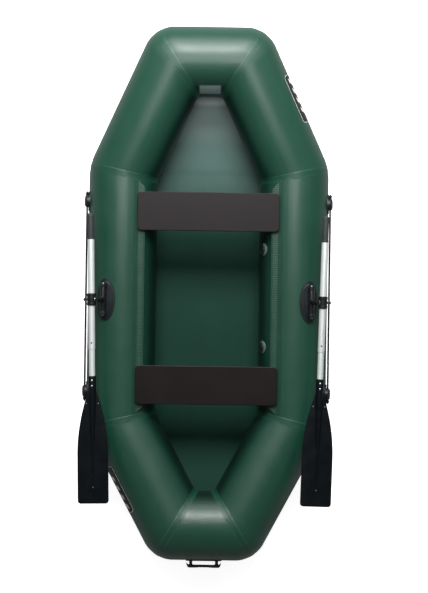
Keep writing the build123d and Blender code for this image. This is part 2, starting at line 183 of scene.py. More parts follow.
def cut(piece, point, normal, clear_behind=False, clear_ahead=False):
    """Bisect the whole piece, and drop what lies behind or ahead of the plane."""
    edit(piece)
    bpy.ops.mesh.bisect(
        plane_co=point, plane_no=normal, clear_inner=clear_behind, clear_outer=clear_ahead)
    clear()


def weld(piece):
    """Join points that lie on each other, and turn every face outwards."""
    edit(piece)
    bpy.ops.mesh.remove_doubles(threshold=0.02 * MM)
    bpy.ops.mesh.normals_make_consistent()
    clear()


def join(name, *pieces):
    """One mesh of several, under a name."""
    pick(*pieces)
    bpy.ops.object.join()
    return named(name)


def modify(piece, kind, **settings):
    """Add one modifier and apply it."""
    pick(piece)
    modifier = piece.modifiers.new(kind.title(), kind)
    for name, value in settings.items():
        setattr(modifier, name, value)
    bpy.ops.object.modifier_apply(modifier=modifier.name)


def thicken(piece, thickness, way):
    """Give a sheet its thickness, off its face where way is 1 and behind it where way is -1."""
    modify(piece, "SOLIDIFY", thickness=thickness, offset=way)


def rounded(piece, width, segments=3, angle=35):
    """Bevel every sharp edge."""
    modify(piece, "BEVEL", width=width, segments=segments, limit_method="ANGLE",
           angle_limit=radians(angle))


def smooth(piece, angle=38):
    """Shade as curved across every edge that turns less than this many degrees."""
    pick(piece)
    bpy.ops.object.shade_smooth_by_angle(angle=radians(angle))


def moved(piece, matrix):
    """Put a piece that was modelled at the origin in its place."""
    piece.matrix_world = matrix
    pick(piece)
    bpy.ops.object.transform_apply()
    return piece


def copied(piece, name, matrix=Matrix.Identity(4)):
    """A copy with its own mesh, moved by a matrix."""
    made = bpy.data.objects.new(name, piece.data.copy())
    bpy.context.scene.collection.objects.link(made)
    return moved(made, matrix)


def at(x, y, z):
    return Matrix.Translation((x, y, z))


def frame_at(origin, along, out):
    """Axes on a tube's skin: y along, z off the skin, x round the tube."""
    y, z = Vector(along).normalized(), Vector(out).normalized()
    x = y.cross(z)
    return Matrix.Translation(origin) @ Matrix((x, y, z)).transposed().to_4x4()


def wrap(piece):
    """Curl a piece modelled flat so that it lies on a tube along y."""
    for vertex in piece.data.vertices:
        turn = vertex.co.x / TUBE_RADIUS
        reach = TUBE_RADIUS + vertex.co.z
        vertex.co.x = reach * sin(turn)
        vertex.co.z = reach * cos(turn) - TUBE_RADIUS


def noted(piece, name, value_at):
    """Keep at each point a vector, found from where the point is, for the finish's pattern."""
    kept = piece.data.attributes.new(name, "FLOAT_VECTOR", "POINT")
    for vertex, value in zip(piece.data.vertices, kept.data):
        value.vector = value_at(vertex.co)


def paint(piece, finish):
    """Give a piece, or a CAD node, its material."""
    piece.data.materials.clear()
    piece.data.materials.append(finish.material)


def fit(piece, body, finish, *stood_for):
    """Give a finished piece its finish and its CAD body, and the CAD nodes that it stands for."""
    paint(piece, finish)
    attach(piece, body)
    if stood_for:
        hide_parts(*stood_for)


def settle(piece, matrix, body, finish, *stood_for):
    """Put a piece in its place, smooth its shading and fit it."""
    moved(piece, matrix)
    smooth(piece)
    fit(piece, body, finish, *stood_for)


def soften(node, name, width, body, finish):
    """Stand in for a CAD node: its flat faces joined up and its sharp edges rounded."""
    piece = copied(nodes[node], name)
    weld(piece)
    select(piece, "FACE")
    bpy.ops.mesh.dissolve_limited(angle_limit=radians(0.5))
    rounded(piece, width, angle=40)
    smooth(piece)
    fit(piece, body, finish, node)


# -------- shader helpers
def srgb(red, green, blue):
    """A colour as it is seen, 0 to 255, in the renderer's linear values."""
    return tuple((c / 255 / 12.92 if c < 10.3 else ((c / 255 + 0.055) / 1.055) ** 2.4)
                 for c in (red, green, blue)) + (1,)


def maths(operation, backwards=False):
    """A method that adds one Math node."""
    def method(*values):
        inputs = values[::-1] if backwards else values
        return values[0].finish.node(
            "ShaderNodeMath", {"operation": operation}, dict(enumerate(inputs)))
    return method


class Value:
    """A socket whose arithmetic adds Math nodes."""

    def __init__(self, finish, socket):
        self.finish, self.socket = finish, socket

    __add__ = maths("ADD")
    __radd__ = maths("ADD")
    __sub__ = maths("SUBTRACT")
    __rsub__ = maths("SUBTRACT", backwards=True)
    __mul__ = maths("MULTIPLY")
    __abs__ = maths("ABSOLUTE")
    sine = maths("SINE")
    root = maths("SQRT")
    least = maths("MINIMUM")
    most = maths("MAXIMUM")


class Finish:
    """A procedural material and its constants on the shader's sockets; the slot that it is given is kept
    but not used.
    """

    def __init__(self, name, slot=None, **constants):
        self.slot = slot
        self.material = bpy.data.materials.new(name)
        self.material.use_nodes = True
        self.tree = self.material.node_tree
        self.shader = self.tree.nodes["Principled BSDF"]
        for socket, value in constants.items():
            self.shader.inputs[socket.replace("_", " ")].default_value = value
        self.point = self.node("ShaderNodeTexCoord", output="Object")   # in the boat's own axes
        self.normal = None

    def node(self, kind, settings=None, inputs=None, output=0):
        """Add a node: its settings first, then its sockets' values or links."""
        made = self.tree.nodes.new(kind)
        for name, value in (settings or {}).items():
            setattr(made, name, value)
        for name, value in (inputs or {}).items():
            if isinstance(value, Value):
                self.tree.links.new(value.socket, made.inputs[name])
            else:
                made.inputs[name].default_value = value
        return Value(self, made.outputs[output])

    def parts(self, vector=None):
        """x, y and z of the point, or of a vector."""
        first = self.node("ShaderNodeSeparateXYZ", inputs={0: vector or self.point})
        return [Value(self, socket) for socket in first.socket.node.outputs]

    def attribute(self, name):
        """A vector that noted() kept."""
        return self.node("ShaderNodeAttribute", {"attribute_name": name}, output="Vector")

    def noise(self, scale, detail=3.0, roughness=0.55, stretch=None, vector=None):
        """Noise over the piece, drawn out along the axes where stretch is less than 1."""
        vector = vector or self.point
        if stretch:
            vector = self.node("ShaderNodeVectorMath", {"operation": "MULTIPLY"}, {0: vector, 1: stretch})
        return self.node("ShaderNodeTexNoise", inputs={
            "Vector": vector, "Scale": scale, "Detail": detail, "Roughness": roughness})

    def band(self, value, start, end, low=0.0, high=1.0):
        """Low before start, high after end, and a smooth step between."""
        return self.node("ShaderNodeMapRange", {"interpolation_type": "SMOOTHSTEP"}, {
            "Value": value, "From Min": start, "From Max": end, "To Min": low, "To Max": high})

    def inside(self, x, y, width, length, corner):
        """How far a point is inside the outline of a rounded rectangle."""
        past_x = abs(x) - (width / 2 - corner)
        past_y = abs(y) - (length / 2 - corner)
        round_x, round_y = past_x.most(0.0), past_y.most(0.0)
        past_corner = (round_x * round_x + round_y * round_y).root()
        return corner - past_corner - past_x.most(past_y).least(0.0)

    def mix(self, factor, first, second):
        """From the first colour to the second: each a Value, or red, green and blue as they are seen."""
        first, second = [
            colour if isinstance(colour, Value) else srgb(*colour) for colour in (first, second)]
        return self.node("ShaderNodeMix", {"data_type": "RGBA"}, {0: factor, 6: first, 7: second}, 2)

    def feed(self, socket, value):
        """Link a value to one of the shader's sockets."""
        self.tree.links.new(value.socket, self.shader.inputs[socket])

    def colour(self, factor, first, second):
        self.feed("Base Color", self.mix(factor, first, second))

    def rough(self, *band):
        self.feed("Roughness", self.band(*band))

    def seen(self, reflected):
        """1 where the camera sees it, less in a reflection or through glass, and 0 as it gives light."""
        straight, mirrored, through = [
            self.node("ShaderNodeLightPath", output=ray)
            for ray in ("Is Camera Ray", "Is Glossy Ray", "Is Transmission Ray")]
        return straight.most(mirrored.most(through) * reflected)

    def raise_by(self, height):
        """Bump by a height in metres, over what is already there."""
        inputs = {"Height": height, "Distance": 1.0, "Strength": 1.0}
        if self.normal:
            inputs["Normal"] = self.normal
        self.normal = self.node("ShaderNodeBump", inputs=inputs)
        self.feed("Normal", self.normal)

    def uneven(self, noise, height):
        """Bump by a noise, up and down from where the surface is."""
        self.raise_by((noise - 0.5) * height)


class Sky(Finish):
    """The world's nodes."""

    def __init__(self, world):
        world.use_nodes = True
        self.tree = world.node_tree


# -------- finishes
GREEN, GREEN_DEEP = (14, 62, 46), (9, 54, 40)
FLOOR_GREEN, FLOOR_GREEN_DEEP = (8, 55, 42), (6, 45, 34)
WEAVE_PITCH, WEAVE_HEIGHT = mm(1.3, 0.006)
PUCKER_REACH = 110 * MM         # how far from a seam the tubes' fabric is drawn into puckers
TAPE_WIDTH, TAPE_THICKNESS = mm(27, 0.9)
# Paler floor towards the bow: painted light with some dust; the last layer is painted light over the shade
# under the bow tube.
FLOOR_DUST_AND_PAINTED_LIGHT = (                  # y where each layer starts and is full, depth, clouds and colour
    (0.3, 0.8, 0.75, 0.3, (90, 117, 112)),
    (0.7, 0.8, 0.3, 0, (150, 168, 165)),
    (0.885, 0.915, 0.8, 0, (206, 221, 219)),
)
RAIL_CORD_PITCH = 9.8 * MM      # between the ribs that the seat rails' cord makes
RAIL_CORD_EDGE = 311 * MM       # how far outboard they reach
BENCH_CORNER = 18 * MM
VENEER_PITCH = 2.8 * MM
FILM_MESH = 2.2 * MM            # pitch of the mesh pressed in the boards' film
PATCH_WIDTH, PATCH_LENGTH, PATCH_CORNER = mm(150, 236, 22)
BAR_PITCH, BAR_SHIFT = mm(46, 11.5)
BAR_SLANT = 0.45                # rise over run
BARS_REACH = mm(40, 83)         # from the patch's middle, across and along
PRINT_EDGE = 0.5 * MM           # how softly the print ends
PLATE_BORDER = 4 * MM


def weave(finish, pitch=WEAVE_PITCH, height=WEAVE_HEIGHT):
    """Crossed threads that show faintly through a coating."""
    x, y, z = finish.parts()
    warp = ((x + z) * (2 * pi / pitch)).sine()
    weft = ((y - z) * (2 * pi / pitch)).sine()
    finish.raise_by(warp * weft * height)


def tube_fabric():
    """Coated fabric blown up tight: satin, with painted shade darkening its inboard side, and short
    puckers out from each seam.
    """
    finish = Finish("tube_fabric", "tube_fabric", Roughness=0.4)
    cloth = finish.attribute("cloth")
    _, inboard, seam = finish.parts(cloth)
    mottle = finish.noise(2.3, 2.0)
    cloudy = finish.noise(14.0)
    tone = finish.mix(mottle, GREEN_DEEP, GREEN)
    tone = finish.mix(cloudy * 0.18, tone, (36, 78, 64))
    # Painted shade: the fabric darkens towards the inboard side, and most of all on the inner face that
    # looks into the boat.
    tone = finish.mix(finish.band(inboard, 50 * MM, 150 * MM) * 0.5, tone, (4, 33, 25))
    finish.colour(finish.band(inboard, 110 * MM, 150 * MM) * 0.75, tone, (1, 14, 10))
    finish.rough(cloudy, 0.25, 0.8, 0.37, 0.43)
    near = finish.band(abs(seam), PUCKER_REACH, 12 * MM)
    puckers = finish.noise(26.0, 2.0, 0.5, stretch=(1, 1, 0.22), vector=cloth)
    finish.raise_by((puckers - 0.5) * near * (1.4 * MM))
    finish.uneven(finish.noise(5.0, 1.0, stretch=(1, 1, 0.6), vector=cloth), 0.5 * MM)
    weave(finish)
    return finish


def seam_tape_fabric():
    """A strip of the same coated fabric, glued over a joint, with a painted highlight along its edges that
    is strongest on the tube's top.
    """
    finish = Finish("seam_tape", "tube_fabric", Roughness=0.4)
    patchy = finish.noise(30.0)
    rise, across, _ = finish.parts(finish.attribute("flat"))
    # Painted highlight: the tape's edges are paler, most of all near the top of the tube.
    pale_edge_highlight = finish.band(abs(across), TAPE_WIDTH / 2 - 3 * MM, TAPE_WIDTH / 2 - 0.5 * MM)
    pale_edge_highlight = pale_edge_highlight * (0.4 + patchy * 0.6) * finish.band(rise, 0.62, 0.95, 0.15, 1.0)
    tone = finish.mix(patchy, GREEN_DEEP, (17, 65, 49))
    finish.colour(pale_edge_highlight, tone, (56, 98, 84))
    finish.uneven(finish.noise(60.0, 2.0), 0.2 * MM)
    weave(finish)
    return finish


def floor_fabric():
    """The floor's coated sheet: flatter and duller than the tubes, slack in long low waves, and paler
    towards the bow with some dust and painted light.
    """
    finish = Finish("floor_fabric", "floor_fabric", Roughness=0.5, Specular_IOR_Level=0.2)
    _, y, _ = finish.parts()
    cloudy = finish.noise(5.0, 4.0)
    scuffs = finish.noise(45.0, 4.0, 0.7, stretch=(1, 0.35, 1))
    tone = finish.mix(cloudy, FLOOR_GREEN_DEEP, FLOOR_GREEN)
    # Painted light, with some dust: the floor grows paler towards the bow.
    for start, full, depth, clouds, pale in FLOOR_DUST_AND_PAINTED_LIGHT:
        tone = finish.mix(finish.band(y, start, full) * (depth + cloudy * clouds), tone, pale)
    finish.colour(finish.band(scuffs, 0.6, 0.85, 0.0, 0.12), tone, (48, 76, 68))
    finish.feed("Roughness", finish.band(y, 350 * MM, 850 * MM, 0.62, 0.4) + scuffs * 0.06)
    finish.uneven(finish.noise(5.0, 2.0, stretch=(1, 0.4, 1)), 3.0 * MM)
    weave(finish, height=0.008 * MM)
    return finish


def rail_fabric():
    """The seat rails' folded strip, ribbed across by the cord that it is sewn over."""
    finish = Finish("rail_fabric", Roughness=0.5, Specular_IOR_Level=0.3)
    x, y, _ = finish.parts()
    cloudy = finish.noise(20.0)
    finish.colour(cloudy, (14, 49, 38), (25, 64, 51))
    flap = finish.band(abs(x), RAIL_CORD_EDGE + 1.5 * MM, RAIL_CORD_EDGE - 1.5 * MM)
    finish.raise_by((y * (2 * pi / RAIL_CORD_PITCH)).sine() * flap * (0.22 * MM))
    weave(finish, 1.1 * MM, 0.008 * MM)
    return finish


def board_finish(end, dark, light, edge):
    """Film-faced plywood: a smooth dark film with a faint mesh, and sealed veneers at the edge."""
    finish = Finish(end + "_board", Roughness=0.46, Specular_IOR_Level=0.14)
    x, y, z = finish.parts()
    grain = finish.noise(70.0, 5.0, 0.6, stretch=(0.06, 1, 1))
    cloudy = finish.noise(6.0)
    film = finish.mix(grain * 0.35 + cloudy * 0.65, dark, light)
    low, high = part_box(end + "_bench")
    inward = finish.inside(x, y - (low.y + high.y) / 2, high.x - low.x, high.y - low.y, BENCH_CORNER)
    side = finish.band(inward, 1.3 * MM, 0.7 * MM)
    veneers = finish.band((z * (2 * pi / VENEER_PITCH)).sine(), -0.4, 0.4)
    sawn = finish.mix(veneers, edge, dark)
    finish.colour(side, film, sawn)
    finish.rough(cloudy, 0.3, 0.7, 0.43, 0.5)
    finish.uneven(grain, 0.03 * MM)
    across, along = [(value * (2 * pi / FILM_MESH)).sine() for value in (x, y)]
    finish.raise_by(across * along * (0.008 * MM))
    return finish


def moulded(name, slot, dark, light, roughness, stipple=0.03, scale=420.0, shine=0.4):
    """Moulded plastic or rubber with a fine stipple, its height in mm, and rubbed high spots."""
    finish = Finish(name, slot, Roughness=roughness, Specular_IOR_Level=shine)
    grain = finish.noise(scale, roughness=0.6)
    cloudy = finish.noise(24.0, 4.0)
    finish.colour(cloudy, dark, light)
    finish.rough(cloudy, 0.3, 0.75, roughness - 0.05, roughness + 0.08)
    finish.uneven(grain, stipple * MM)
    return finish


def drawn_metal(name, slot, dark, light, roughness, metallic):
    """Drawn tube: fine lines along the oar. Satin anodised metal is less metallic than bare steel."""
    finish = Finish(name, slot, Metallic=metallic, Roughness=roughness)
    lines = finish.noise(700.0, 4.0, 0.7, stretch=(1, 0.012, 1))
    cloudy = finish.noise(40.0, stretch=(1, 0.3, 1))
    finish.colour(lines * 0.6 + cloudy * 0.4, dark, light)
    finish.rough(lines, 0.3, 0.7, roughness - 0.07, roughness + 0.1)
    finish.uneven(lines, 0.02 * MM)
    return finish


def braided_rope(name, around, along):
    """Black braid: two sets of yarns that cross on the slant, with their turns round and along."""
    finish = Finish(name, "rope", Roughness=0.62, Specular_IOR_Level=0.3)
    u, v, _ = finish.parts(finish.node("ShaderNodeTexCoord", output="UV"))
    left = (u * (around * 2 * pi) + v * (along * 2 * pi)).sine()
    right = (u * (around * 2 * pi) - v * (along * 2 * pi)).sine()
    lumps = left * right
    finish.colour(finish.band(lumps, -0.6, 0.9), (4, 6, 7), (22, 25, 27))
    finish.raise_by(lumps * (0.35 * MM))
    finish.uneven(finish.noise(1500.0, 2.0), 0.06 * MM)
    return finish


def patch_print():
    """Black printed patch with a pale keyline and a row of plain slanted bars."""
    finish = Finish("patch_print", "plate_fabric", Roughness=0.34, Specular_IOR_Level=0.12)
    x, y, _ = finish.parts(finish.attribute("flat"))
    rim = finish.inside(x, y, PATCH_WIDTH, PATCH_LENGTH, PATCH_CORNER)
    keyline = finish.band(rim, 3.4 * MM, 4.0 * MM) * finish.band(rim, 6.4 * MM, 5.8 * MM)
    leaning = y + x * BAR_SLANT
    bars = finish.band(((leaning - BAR_SHIFT) * (2 * pi / BAR_PITCH)).sine(), 0.05, 0.14)
    for value, reach in zip((abs(x), abs(leaning)), BARS_REACH):
        bars = bars * finish.band(value, reach + PRINT_EDGE, reach)
    ink = keyline.most(bars)
    patchy = finish.noise(90.0, 4.0)
    ground = finish.mix(patchy, (12, 14, 15), (24, 27, 28))
    finish.colour(ink, ground, finish.mix(patchy, (214, 218, 216), (236, 238, 236)))
    finish.rough(patchy, 0.3, 0.7, 0.3, 0.42)
    finish.raise_by(ink * (0.04 * MM))
    weave(finish)
    return finish


def plate_print():
    """Blank grey plate with a sealed border."""
    finish = Finish("plate_print", Roughness=0.42)
    x, _, z = finish.parts()
    low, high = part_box("data_plate")
    edge_x = (high.x - low.x) / 2 - abs(x)
    edge_z = (z - low.z).least(high.z - z)
    rim = finish.band(edge_x.least(edge_z), PLATE_BORDER, PLATE_BORDER + PRINT_EDGE)
    blank = finish.mix(finish.noise(40.0), (112, 132, 130), (128, 146, 144))
    finish.colour(rim, (66, 86, 83), blank)
    finish.raise_by(rim * (0.25 * MM))
    finish.uneven(finish.noise(900.0, 2.0), 0.03 * MM)
    return finish


def plain_thread(name, slot, dark, light):
    """Spun thread, matt and fuzzy."""
    finish = Finish(name, slot, Roughness=0.6)
    fuzz = finish.noise(2200.0, 2.0)
    finish.colour(fuzz, dark, light)
    finish.uneven(fuzz, 0.05 * MM)
    return finish


# -------- air tubes
TUBE_SIDES = 96
CUT_EASE = 12 * MM              # from the inner end of a corner to the loop that bounds its bend
END_BEND, SIDE_BEND = (42, 10), (60, 6)  # percent of the way to that loop, and steps round the bend
NEAR_CORNER = 2.2 * TUBE_RADIUS


def long_tubes():
    """Eight open cylinders, mitred to each other, merged to one ring and rounded at the corners."""
    tubes = []
    up = UP
    for index in range(8):
        start, end, along = RING[index], RING[(index + 1) % 8], run(index)
        turn = Matrix((up, along.cross(up), along)).transposed()
        tube = primitive(
            "cylinder", CHAMBERS[index] + "_run", vertices=TUBE_SIDES, radius=TUBE_RADIUS,
            depth=(end - start).length + 4 * TUBE_RADIUS, end_fill_type="NOTHING",
            location=(start + end) / 2, rotation=turn.to_euler())
        cut(tube, start, mitre(index), clear_behind=True)
        cut(tube, end, mitre(index + 1), clear_ahead=True)
        for number, corner, way in ((index, start, 1), (index + 1, end, -1)):
            reach = TUBE_RADIUS * tan(half_bend(number)) + CUT_EASE
            cut(tube, corner + along * way * reach, along)
        tubes.append(tube)
        across = mitre(index + 1)
        up = up - across * 2 * up.dot(across)
    ring = join("tube_ring", *tubes)
    weld(ring)
    for index in range(8):
        percent, steps = END_BEND if index in END_CORNERS else SIDE_BEND
        select(ring, "EDGE", lambda edge: all(
            abs((v.co - RING[index]).dot(mitre(index))) < 0.1 * MM
            and (v.co - RING[index]).length < 2 * TUBE_RADIUS for v in edge.verts))
        bpy.ops.mesh.bevel(offset_type="PERCENT", offset_pct=percent, affect="EDGES", segments=steps)
    clear()
    return ring


def chamber_of(point):
    """Which chamber a point of the ring's skin belongs to."""
    def miss(index):
        start, end = RING[index], RING[(index + 1) % 8]
        before = (start - point).dot(mitre(index))
        past = (point - end).dot(mitre(index + 1))
        off = ((point - start) - run(index) * (point - start).dot(run(index))).length - TUBE_RADIUS
        return max(0, before) + max(0, past) + max(0, off)
    return min(range(8), key=miss)


def note_cloth(piece, index):
    """Keep, for the fabric's pattern and its painted shade, where each point is round the tube and how far
    from a seam.
    """
    up = (UP - run(index) * UP.dot(run(index))).normalized()
    side = run(index).cross(up)

    def round_and_seam(co):
        offset = co - RING[index]
        first = offset.dot(mitre(index))
        last = (RING[(index + 1) % 8] - co).dot(mitre(index + 1))
        return offset.dot(up), offset.dot(side), first if first < last else -last
    noted(piece, "cloth", round_and_seam)


def air_tubes(fabric, tape):
    """The tape over each joint of the ring, and the skins of its eight air chambers."""
    ring = long_tubes()
    for index, name in enumerate(CHAMBERS):
        corner, across = RING[index], mitre(index)
        band = copied(ring, name + "_seam_tape")
        select(band, "FACE", lambda face: (face.calc_center_median() - corner).length > NEAR_CORNER)
        bpy.ops.mesh.delete(type="FACE")
        cut(band, corner - across * TAPE_WIDTH / 2, across, clear_behind=True)
        cut(band, corner + across * TAPE_WIDTH / 2, across, clear_ahead=True)
        noted(band, "flat", lambda co: ((co - corner).z / TUBE_RADIUS, (co - corner).dot(across), 0))
        thicken(band, TAPE_THICKNESS, 1)
        rounded(band, TAPE_THICKNESS * 0.45, 2, 60)
        smooth(band, 80)
        fit(band, "hull", tape)
    for index, name in enumerate(CHAMBERS):
        chamber = copied(ring, name + "_skin")
        select(chamber, "FACE", lambda face: chamber_of(face.calc_center_median()) != index)
        bpy.ops.mesh.delete(type="FACE")
        clear()
        note_cloth(chamber, index)
        smooth(chamber, 60)
        fit(chamber, "hull", fabric, name)
    bpy.data.objects.remove(ring)


# -------- floor
FLOOR_LAP = 22 * MM             # floor past the tubes' lowest line
FLOOR_THICKNESS = 1.5 * MM
FLOOR_BEND = 110 * MM           # how far each side of a bend the sheet eases into it


def floor_sheet(fabric):
    """One sheet, bent up under the bow and the stern, trimmed to the tubes and given its thickness."""
    centre = (0, MIDDLE_Y, FLOOR_THICKNESS)
    sheet = primitive("grid", "floor_sheet", x_subdivisions=40, y_subdivisions=96, size=1, location=centre)
    stretched(sheet, (3 * SIDE_X, 1.2 * (BOW_Y - STERN_Y), 1), centre)
    for way, corner, tip in ((1, RING[2], RING[1]), (-1, RING[3], RING[4])):
        slope = atan2(tip.z - corner.z, abs(tip.y - corner.y))
        bend_y = corner.y + way * (TUBE_RADIUS + FLOOR_THICKNESS) * tan(slope / 2)
        cut(sheet, (0, bend_y, 0), (0, 1, 0))
        select(sheet, "VERT", lambda v: way * (v.co.y - bend_y) > 0.01 * MM)
        bpy.ops.transform.rotate(
            value=-way * slope, orient_axis="X", center_override=(0, bend_y, FLOOR_THICKNESS))
        select(sheet, "VERT", lambda v: abs(v.co.y - bend_y) < FLOOR_BEND
               and abs(v.co.x) < SIDE_X - TUBE_RADIUS)
        bpy.ops.mesh.vertices_smooth(factor=0.5, repeat=30, xaxis=False, yaxis=False)
    for index in range(8):
        along = run(index)
        outward = Vector((-along.y, along.x, 0)).normalized()
        cut(sheet, RING[index] + outward * FLOOR_LAP, outward, clear_ahead=True)
    thicken(sheet, FLOOR_THICKNESS, -1)
    smooth(sheet)
    fit(sheet, "hull", fabric, "bow_floor_panel", "mid_floor_panel", "stern_floor_panel")


# -------- pads on the tubes
WRAP_STEP = 7 * MM              # between the cuts that let a flat piece curl round a tube


def cut_to_curl(piece, width):
    """Lengthwise cuts, close enough for a flat piece to follow a tube."""
    for step in range(-int(width / 2 / WRAP_STEP), int(width / 2 / WRAP_STEP) + 1):
        cut(piece, (step * WRAP_STEP, 0, 0), (1, 0, 0))


def flat_pad(name, width, length, thickness, corner, edge=0):
    """A rounded rectangle on the z plane: width is what goes round the tube."""
    pad = stretched(primitive("plane", name, size=1), (width, length, 1))
    select(pad, "VERT")
    bpy.ops.mesh.bevel(affect="VERTICES", offset=corner, segments=8)
    thicken(pad, thickness, 1)
    if edge:
        rounded(pad, edge, 2, 60)
    cut_to_curl(pad, width)
    noted(pad, "flat", lambda co: co)
    return pad


def oval_pad(name, width, length, steps):
    """An oval on the z plane, built up in steps: each is how far in and how far up."""
    pad = primitive("circle", name, vertices=72, radius=0.5, fill_type="NGON")
    stretched(pad, (width, length, 1))
    select(pad, "FACE")
    for inward, upward in steps:
        if inward:
            bpy.ops.mesh.inset(thickness=inward)
            bpy.ops.transform.translate(value=(0, 0, upward))
        else:
            bpy.ops.mesh.extrude_region_move(TRANSFORM_OT_translate={"value": (0, 0, upward)})
    clear()
    cut_to_curl(pad, width)
    return pad


def on_side_tube(sign, y, angle):
    """Place on a side tube's skin, angle outboard of its crown: x outboard, z off the skin."""
    out = Vector((sign * sin(angle), 0, cos(angle)))
    return frame_at(Vector((sign * SIDE_X, y, SIDE_Z)) + out * TUBE_RADIUS, (0, sign, 0), out)


def on_tube(index, distance, angle):
    """Place on a slanted tube, distance from its first corner, angle outboard of its crown."""
    along = run(index)
    up = (UP - along * along.z).normalized()
    out = up * cos(angle) + up.cross(along) * sin(angle)
    return frame_at(RING[index] + along * distance + out * TUBE_RADIUS, along, out)


# -------- decal patches
PATCH_SPOTS = {                 # tube, distance along it and angle outboard of its crown
    "starboard_bow_patch": (1, 240 * MM, radians(79)),
    "port_stern_patch": (5, 256 * MM, radians(77)),
}


def decal_patches(finish):
    """Two printed patches, on the starboard bow tube and the port stern tube."""
    patch = flat_pad("patch", PATCH_WIDTH, PATCH_LENGTH, thickness=0.5 * MM, corner=PATCH_CORNER)
    for name, spot in PATCH_SPOTS.items():
        made = copied(patch, name)
        wrap(made)
        settle(made, on_tube(*spot), "hull", finish)
    bpy.data.objects.remove(patch)


# -------- seat rails' stitching
RAIL_FLAP_TOP = 293.6 * MM
STITCH_MARGIN = 45 * MM         # from a rail's end to its first stitch
STITCH_PITCH = 6 * MM
STITCH_LENGTH, STITCH_RADIUS = mm(4.2, 0.45)
STITCH_ROWS = mm(6, 21)         # from the flap's inner edge


def stitching(finish):
    """Two rows of thread along each seat rail's flap."""
    low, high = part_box("starboard_seat_rail")
    length = high.y - low.y - 2 * STITCH_MARGIN
    stitch = cylinder("stitch", STITCH_RADIUS, STITCH_LENGTH, sides=6)
    rounded(stitch, STITCH_RADIUS * 0.6, 1)
    moved(stitch, ALONG_Y)
    modify(stitch, "ARRAY", count=int(length / STITCH_PITCH), use_relative_offset=False,
           use_constant_offset=True, constant_offset_displace=(0, STITCH_PITCH, 0))
    for side, sign in SIDES.items():
        rows = [
            copied(stitch, "row", at(
                sign * (low.x + row), low.y + STITCH_MARGIN + shift, RAIL_FLAP_TOP + 0.1 * MM))
            for row, shift in zip(STITCH_ROWS, (0, STITCH_PITCH / 2))]
        seam = join(side + "_rail_stitching", *rows)
        smooth(seam)
        fit(seam, "hull", finish)
    bpy.data.objects.remove(stitch)


# -------- oarlocks
OARLOCK_Y = box_middle("starboard_oarlock_base")[1]
OARLOCK_ANGLE = radians(24)     # outboard of the side tube's crown
AXLE_HEIGHT, AXLE_OFFSET, RIDGE_LENGTH = mm(20, 2, 140)     # the ridge holds the axle
PIN_HEIGHT = 50 * MM            # cross pin above the axle
OAR_OFFSET = 30 * MM            # oar outboard of the oarlock's middle
TOE_IN = radians(1.5)           # the stowed oars' turn from fore and aft
RIM_RADIUS, RIM_ROLL, RIM_HEIGHT = mm(36, 2.4, 5)
RIM_STRETCH = (1, 2.17, 0.9)
SADDLE_WIDTH, SADDLE_LENGTH = mm(50, 158)
SADDLE_STEPS = (mm(0, 6.5), mm(1.5, 1.5), mm(4, 0.4), mm(6, 0.6))


def oarlock(side, rubber, plastic, steel):
    """Bonded pad with its moulded rim and saddle, the axle's heads, the rocker and the swivel head."""
    sign = SIDES[side]
    lock = side + "_oarlock"
    spot = on_side_tube(sign, OARLOCK_Y, OARLOCK_ANGLE)
    soften(lock + "_base", lock + "_pad", 1.2 * MM, "hull", rubber)

    rim = torus(lock + "_pad_rim", RIM_RADIUS, RIM_ROLL, 72, RIM_STRETCH, (0, 0, RIM_HEIGHT))
    wrap(rim)
    settle(rim, spot, "hull", rubber)

    saddle = oval_pad(lock + "_saddle", SADDLE_WIDTH, SADDLE_LENGTH, SADDLE_STEPS)
    wrap(saddle)
    moved(saddle, spot)
    weld(saddle)
    smooth(saddle)
    fit(saddle, "hull", rubber)

    for end in (1, -1):
        name = f"{lock}_axle_head_{'fore' if end == sign else 'aft'}"
        head = cylinder(name, radius=6.2 * MM, depth=3 * MM, sides=24)
        rounded(head, 1.3 * MM)
        place = at(AXLE_OFFSET, end * (RIDGE_LENGTH / 2 + 1.2 * MM), AXLE_HEIGHT)
        settle(head, spot @ place @ Matrix.Rotation(-end * pi / 2, 4, "X"), "hull", steel)
    paint(nodes[lock + "_axle"], steel)

    soften(lock + "_rocker", lock + "_saddle_block", 1.0 * MM, lock, plastic)
    soften(side + "_swivel_head", side + "_swivel", 0.9 * MM, side + "_oar", plastic)


def oar_frame(side):
    """Origin on the oar's centreline at its cross pin: y towards the blade, z off the blade's face."""
    spot = on_side_tube(SIDES[side], OARLOCK_Y, OARLOCK_ANGLE)
    outboard, out = spot.col[0].xyz, spot.col[2].xyz
    forward = Vector((0, 1, 0))
    pin_way = outboard * cos(TOE_IN) - forward * sin(TOE_IN)
    blade_way = -forward * cos(TOE_IN) - outboard * sin(TOE_IN)
    origin = (spot.translation + out * (AXLE_HEIGHT + PIN_HEIGHT)
              + outboard * AXLE_OFFSET + pin_way * OAR_OFFSET)
    return frame_at(origin, blade_way, UP - blade_way * UP.dot(blade_way)), pin_way


SHAFT_RADIUS, SOCKET_RADIUS, COLLAR_RADIUS, GRIP_RADIUS = mm(15, 17, 19.5, 14)
# Reaches are from the cross pin towards the blade.
COLLAR_BANDS = {"fore": -20 * MM, "aft": 20 * MM}
BUTTON_REACH = 192 * MM
RIVET_REACHES = mm(357, 381)
GRIP_BANDS = mm(-366, -271)
HEAD_SUNK = 0.4 * MM            # how deep a rivet's or the button's head stands in its tube


def dome(name, radius, height):
    """Rivet or button head, standing on z = 0."""
    head = primitive("uv_sphere", name, segments=24, ring_count=12, radius=radius)
    cut(head, (0, 0, 0), (0, 0, 1), clear_behind=True)
    select(head, "EDGE", lambda edge: edge.is_boundary)
    bpy.ops.mesh.edge_face_add()
    return stretched(head, (1, 1, height / radius))


